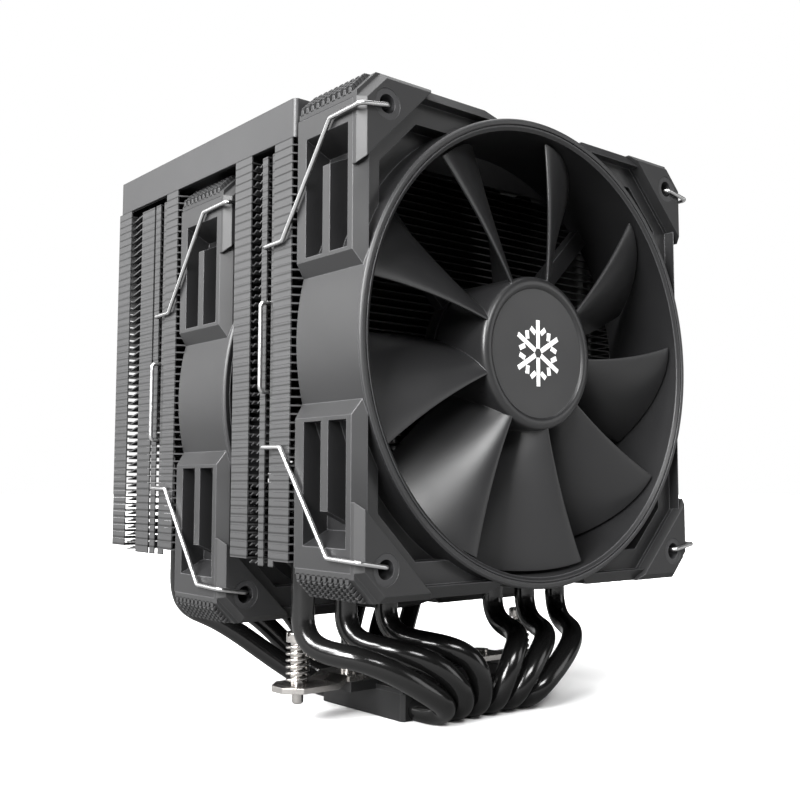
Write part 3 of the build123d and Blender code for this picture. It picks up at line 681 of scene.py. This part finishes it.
def pad_cells(edge, cut, proud, first, last, pitch, columns):
    """Ribs across the cut corner of a pad, each broken into small cells. A cell is a block whose outer
    face is a little smaller than its foot, and nothing stands past the edge of the fan. Cells lie at equal
    steps along the depth and across the corner."""
    rows = int((last - first) / pitch)
    depth = first + pitch * (np.arange(rows) + 0.5)
    width = (cut - proud) * math.sqrt(2)
    step = width / columns
    across = step * (np.arange(columns) + 0.5) - width / 2
    depth, across = [grid.reshape(-1, 1) for grid in np.meshgrid(depth, across, indexing="ij")]
    foot = np.array([[-1, -1], [1, -1], [1, 1], [-1, 1]])
    lean = np.concatenate([foot, foot * PAD_CELL_TAPER])
    cell_depth = depth + lean[None, :, 0] * pitch * 0.30
    cell_across = across + lean[None, :, 1] * step * 0.40
    seat = (2 * edge - cut) / math.sqrt(2) + proud
    height = np.repeat([-PAD_CELL_SINK, PAD_CELL_HEIGHT], 4)[None, :] + seat + 0 * cell_depth
    points = np.stack([(height - cell_across) / math.sqrt(2), cell_depth,
                       (height + cell_across) / math.sqrt(2)], -1)
    points[..., ::2] = np.minimum(points[..., ::2], edge)
    block = np.array([[4, 5, 6, 7], [0, 1, 5, 4], [1, 2, 6, 5], [2, 3, 7, 6], [3, 0, 4, 7], [3, 2, 1, 0]])
    faces = (np.arange(len(points))[:, None, None] * 8 + block).reshape(-1, 4)
    return points.reshape(-1, 3), faces


def four_turns(points, faces):
    """The same part at the four corners, turned about the Y axis."""
    parts = []
    for cosine, sine in ((1, 0), (0, 1), (-1, 0), (0, -1)):
        turn = np.array([[cosine, 0, sine], [0, 1, 0], [-sine, 0, cosine]])
        parts.append((points @ turn.T, [faces]))
    return join_parts(parts)


class OBJECT_OT_cooler_frames(bpy.types.Operator):
    """Builds the ring lips of both fans and the ribs on their corner pads."""
    bl_idname = "object.cooler_frames"
    bl_label = "Frame details"

    def execute(self, context):
        sizes = context.scene.cooler_fan
        for fan, body, _ in FANS:
            low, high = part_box(body + "_frame")
            pad_low, pad_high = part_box(body + "_corner_pads")
            centre = np.array([(low.x + high.x) / 2, 0, (low.z + high.z) / 2])
            lip = lip_profile(RING_OUTER - RING_WIDTH, RING_OUTER, pad_low.y + RING_ROOM,
                              low.y + RING_OVERLAP)
            points, faces = revolve(lip, 192)
            piece = make_piece(fan + "_ring_lip", points + centre, faces, body,
                               "FanPlastic")
            smooth_by_angle(piece, 25)
            edge = (pad_high.x - pad_low.x) / 2
            cells, cell_faces = pad_cells(edge, PAD_CUT, PAD_PROUD, pad_low.y + PAD_RIB_START,
                                          pad_high.y, sizes.knurl_pitch, PAD_RIB_COLUMNS)
            points, faces = four_turns(cells, cell_faces)
            make_piece(fan + "_pad_ribs", points + centre, faces, body, "PadRubber",
                       smooth=False)
        return {"FINISHED"}


# ---- fin stacks ----
def hook_ribbons(inner, outer, start, end, heights, rise, thickness):
    """Bent hooks in a slot of the fins. Each is a strip between two depths whose height rises towards the
    front by a smooth step, share^2 (3 - 2 share). Its section is a rectangle between two x."""
    stations = 9
    share = np.linspace(0, 1, stations)
    depth = end + (start - end) * share
    lift = rise * share**2 * (3 - 2 * share)
    section_x = np.array([inner, outer, outer, inner])
    section_z = np.array([0, 0, thickness, thickness])
    points = np.empty((len(heights), stations, 4, 3))
    points[..., 0] = section_x
    points[..., 1] = depth[None, :, None]
    points[..., 2] = heights[:, None, None] + lift[None, :, None] + section_z
    sides = grid_faces(stations, 4, wrap_columns=True)
    caps = np.array([[3, 2, 1, 0], [(stations - 1) * 4 + k for k in range(4)]])
    strip = np.concatenate([sides, caps])
    faces = (np.arange(len(heights))[:, None, None] * stations * 4 + strip).reshape(-1, 4)
    return points.reshape(-1, 3), faces


def both_sides(points, faces):
    """A part and its mirror image across the cooler's middle, both facing outwards."""
    mirrored = points * np.array([-1, 1, 1])
    return join_parts([(points, [faces]), (mirrored, [faces[:, ::-1]])])


class OBJECT_OT_cooler_fin_hooks(bpy.types.Operator):
    """Builds the interlock hooks in the side slots of both fin stacks."""
    bl_idname = "object.cooler_fin_hooks"
    bl_label = "Fin hooks"

    def execute(self, context):
        sizes = context.scene.cooler_fins
        pitch = fin_pitch(sizes.fin_count)
        for number, (node, start, end, share) in enumerate(HOOK_SLOTS):
            low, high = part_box(node)
            heights = low.z + pitch * np.arange(sizes.fin_count - 1) + HOOK_SEAT
            strip, faces = hook_ribbons(high.x - HOOK_INNER, high.x - HOOK_OUTER, low.y + start,
                                        low.y + end, heights, sizes.hook_rise * share, HOOK_THICKNESS)
            points, faces = both_sides(strip, faces)
            piece = make_piece(f"{node}_hooks_{number + 1}", points, faces, "heatsink",
                               "FinCoating")
            smooth_by_angle(piece)
        return {"FINISHED"}


# ---- springs ----
def coil(radius, wire, bottom, top, turns):
    """A round wire along a helix about the Z axis: the centre line is x = r cos a, y = r sin a, with the
    height rising evenly with the angle a. The section is a circle across the line, on its radial and
    binormal directions, and both ends are closed."""
    stations, round_section = turns * 24 + 1, 10
    share = np.linspace(0, 1, stations)[:, None]
    angle = 2 * np.pi * turns * share
    rise = top - bottom - 2 * wire
    line = np.concatenate([radius * np.cos(angle), radius * np.sin(angle), bottom + wire + rise * share], 1)
    out = np.concatenate([np.cos(angle), np.sin(angle), 0 * angle], 1)
    speed = 2 * np.pi * turns * radius
    along = np.concatenate([-speed * np.sin(angle), speed * np.cos(angle), rise + 0 * angle], 1)
    along /= np.linalg.norm(along, axis=1)[:, None]
    cross = np.cross(along, out)
    around = np.linspace(0, 2 * np.pi, round_section, endpoint=False)[None, :, None]
    points = line[:, None] + wire * (np.cos(around) * out[:, None] + np.sin(around) * cross[:, None])
    first = np.arange(round_section)[None, ::-1]
    last = (np.arange(round_section) + (stations - 1) * round_section)[None, :]
    sides = grid_faces(stations, round_section, wrap_columns=True)
    return points.reshape(-1, 3), [sides, first, last]


class OBJECT_OT_cooler_springs(bpy.types.Operator):
    """Builds the two coil springs; on the real cooler they shorten when their screws are pressed."""
    bl_idname = "object.cooler_springs"
    bl_label = "Springs"

    def execute(self, context):
        for side in SIDES:
            low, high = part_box(side + "_spring")
            points, faces = coil((high.x - low.x) / 2 - SPRING_WIRE, SPRING_WIRE, low.z, high.z,
                                 SPRING_TURNS)
            centre = np.array([(low.x + high.x) / 2, (low.y + high.y) / 2, 0])
            piece = make_piece(side + "_coil", points + centre, faces, "heatsink",
                               "Nickel", (side + "_spring",))
            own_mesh(piece)
        return {"FINISHED"}


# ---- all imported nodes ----
class OBJECT_OT_cooler_finishes(bpy.types.Operator):
    """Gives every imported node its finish."""
    bl_idname = "object.cooler_node_finishes"
    bl_label = "Node finishes"

    def execute(self, context):
        for name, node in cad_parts.items():
            node.data.materials.clear()
            node.data.materials.append(finish_of_node(name))
        return {"FINISHED"}


# ---- stage ----
def add_area(name, place, aim, size, power):
    """A soft rectangular light at a place, turned towards its aim."""
    data = bpy.data.lights.new(name, "AREA")
    data.shape = "RECTANGLE"
    data.size, data.size_y = size
    data.energy = power
    light = bpy.data.objects.new(name, data)
    bpy.context.scene.collection.objects.link(light)
    light.location = place
    direction = np.array(aim, float) - np.array(place, float)
    light.rotation_euler = direction_to_turn(direction)


def add_sun(name, come_from, strength, angle):
    """A wide, soft light from one direction, even over the whole floor."""
    data = bpy.data.lights.new(name, "SUN")
    data.energy = strength
    data.angle = math.radians(angle)
    light = bpy.data.objects.new(name, data)
    bpy.context.scene.collection.objects.link(light)
    light.rotation_euler = direction_to_turn([-c for c in come_from])


def light_world(scene):
    """White behind everything, and a dim even light on everything."""
    world = bpy.data.worlds.new("Studio")
    scene.world = world
    world.use_nodes = True
    tree = world.node_tree
    dim = tree.nodes["Background"]
    dim.inputs["Color"].default_value = (1, 1, 1, 1)
    dim.inputs["Strength"].default_value = WORLD_FILL
    bright = tree.nodes.new("ShaderNodeBackground")
    bright.inputs["Color"].default_value = (1, 1, 1, 1)
    bright.inputs["Strength"].default_value = 1.0
    path = tree.nodes.new("ShaderNodeLightPath")
    mix = tree.nodes.new("ShaderNodeMixShader")
    tree.links.new(path.outputs["Is Camera Ray"], mix.inputs["Fac"])
    tree.links.new(dim.outputs["Background"], mix.inputs[1])
    tree.links.new(bright.outputs["Background"], mix.inputs[2])
    tree.links.new(mix.outputs["Shader"], tree.nodes["World Output"].inputs["Surface"])


def direction_to_turn(direction):
    return Vector(direction).to_track_quat("-Z", "Y").to_euler()


class OBJECT_OT_cooler_stage(bpy.types.Operator):
    """Builds the floor, the lights and the camera."""
    bl_idname = "object.cooler_stage"
    bl_label = "Stage"

    def execute(self, context):
        scene = context.scene
        low, high = cad_bounds
        middle = np.array([(low[k] + high[k]) / 2 for k in range(3)])
        size = FLOOR_HALF
        bottom = low[2] - FLOOR_DROP
        corners = np.array([[-size, -size, bottom], [size, -size, bottom], [size, size, bottom],
                            [-size, size, bottom]])
        mesh = bpy.data.meshes.new("floor")
        mesh.from_pydata(corners.tolist(), [], [[0, 1, 2, 3]])
        floor = bpy.data.objects.new("floor", mesh)
        scene.collection.objects.link(floor)
        material, tree, shader = start_material("FloorPaper", Roughness=0.9)
        path = tree.nodes.new("ShaderNodeLightPath")
        bounce = tree.nodes.new("ShaderNodeMapRange")
        bounce.inputs["To Min"].default_value = FLOOR_BOUNCE
        bounce.inputs["To Max"].default_value = FLOOR_WHITE
        tree.links.new(path.outputs["Is Camera Ray"], bounce.inputs["Value"])
        tree.links.new(bounce.outputs["Result"], shader.inputs["Base Color"])
        mesh.materials.append(material)
        light_world(scene)
        for name, come_from, strength, angle in SUNS:
            add_sun(name, come_from, strength, angle)
        for name, place, size, power in SOFTBOXES:
            add_area(name, place, middle, size, power)
        camera_data = bpy.data.cameras.new("camera")
        camera_data.lens = CAMERA_LENS
        camera_data.sensor_width = 36.0
        camera_data.clip_start = 0.01
        camera = bpy.data.objects.new("camera", camera_data)
        scene.collection.objects.link(camera)
        camera.location = CAMERA_PLACE
        turn = direction_to_turn(CAMERA_AIM).to_quaternion()
        camera.rotation_euler = (turn @ Quaternion((0, 0, 1), math.radians(CAMERA_ROLL))).to_euler()
        scene.camera = camera
        scene.view_settings.view_transform = "Standard"
        return {"FINISHED"}


class VIEW3D_PT_cooler(bpy.types.Panel):
    """Lists the builders and the values they read."""
    bl_label = "CPU tower cooler"
    bl_idname = "VIEW3D_PT_cooler"
    bl_space_type = "VIEW_3D"
    bl_region_type = "UI"
    bl_category = "Cooler"

    def draw(self, context):
        for group in (context.scene.cooler_fan, context.scene.cooler_fins, context.scene.cooler_finishes):
            for name in group.__annotations__:
                self.layout.prop(group, name)
        for operator in OPERATORS:
            self.layout.operator(operator.bl_idname)


OPERATORS = (OBJECT_OT_cooler_stage, OBJECT_OT_cooler_finishes, OBJECT_OT_cooler_impellers,
             OBJECT_OT_cooler_frames, OBJECT_OT_cooler_fin_hooks, OBJECT_OT_cooler_springs)
CLASSES = (CoolerFanSizes, CoolerFinSizes, CoolerFinishes, *OPERATORS, VIEW3D_PT_cooler)


def register():
    for item in CLASSES:
        bpy.utils.register_class(item)
    bpy.types.Scene.cooler_fan = bpy.props.PointerProperty(type=CoolerFanSizes)
    bpy.types.Scene.cooler_fins = bpy.props.PointerProperty(type=CoolerFinSizes)
    bpy.types.Scene.cooler_finishes = bpy.props.PointerProperty(type=CoolerFinishes)


def unregister():
    del bpy.types.Scene.cooler_finishes
    del bpy.types.Scene.cooler_fins
    del bpy.types.Scene.cooler_fan
    for item in reversed(CLASSES):
        bpy.utils.unregister_class(item)


def main():
    register()
    for operator in OPERATORS:
        group, name = operator.bl_idname.split(".")
        getattr(getattr(bpy.ops, group), name)()


if __name__ == "__main__":
    main()
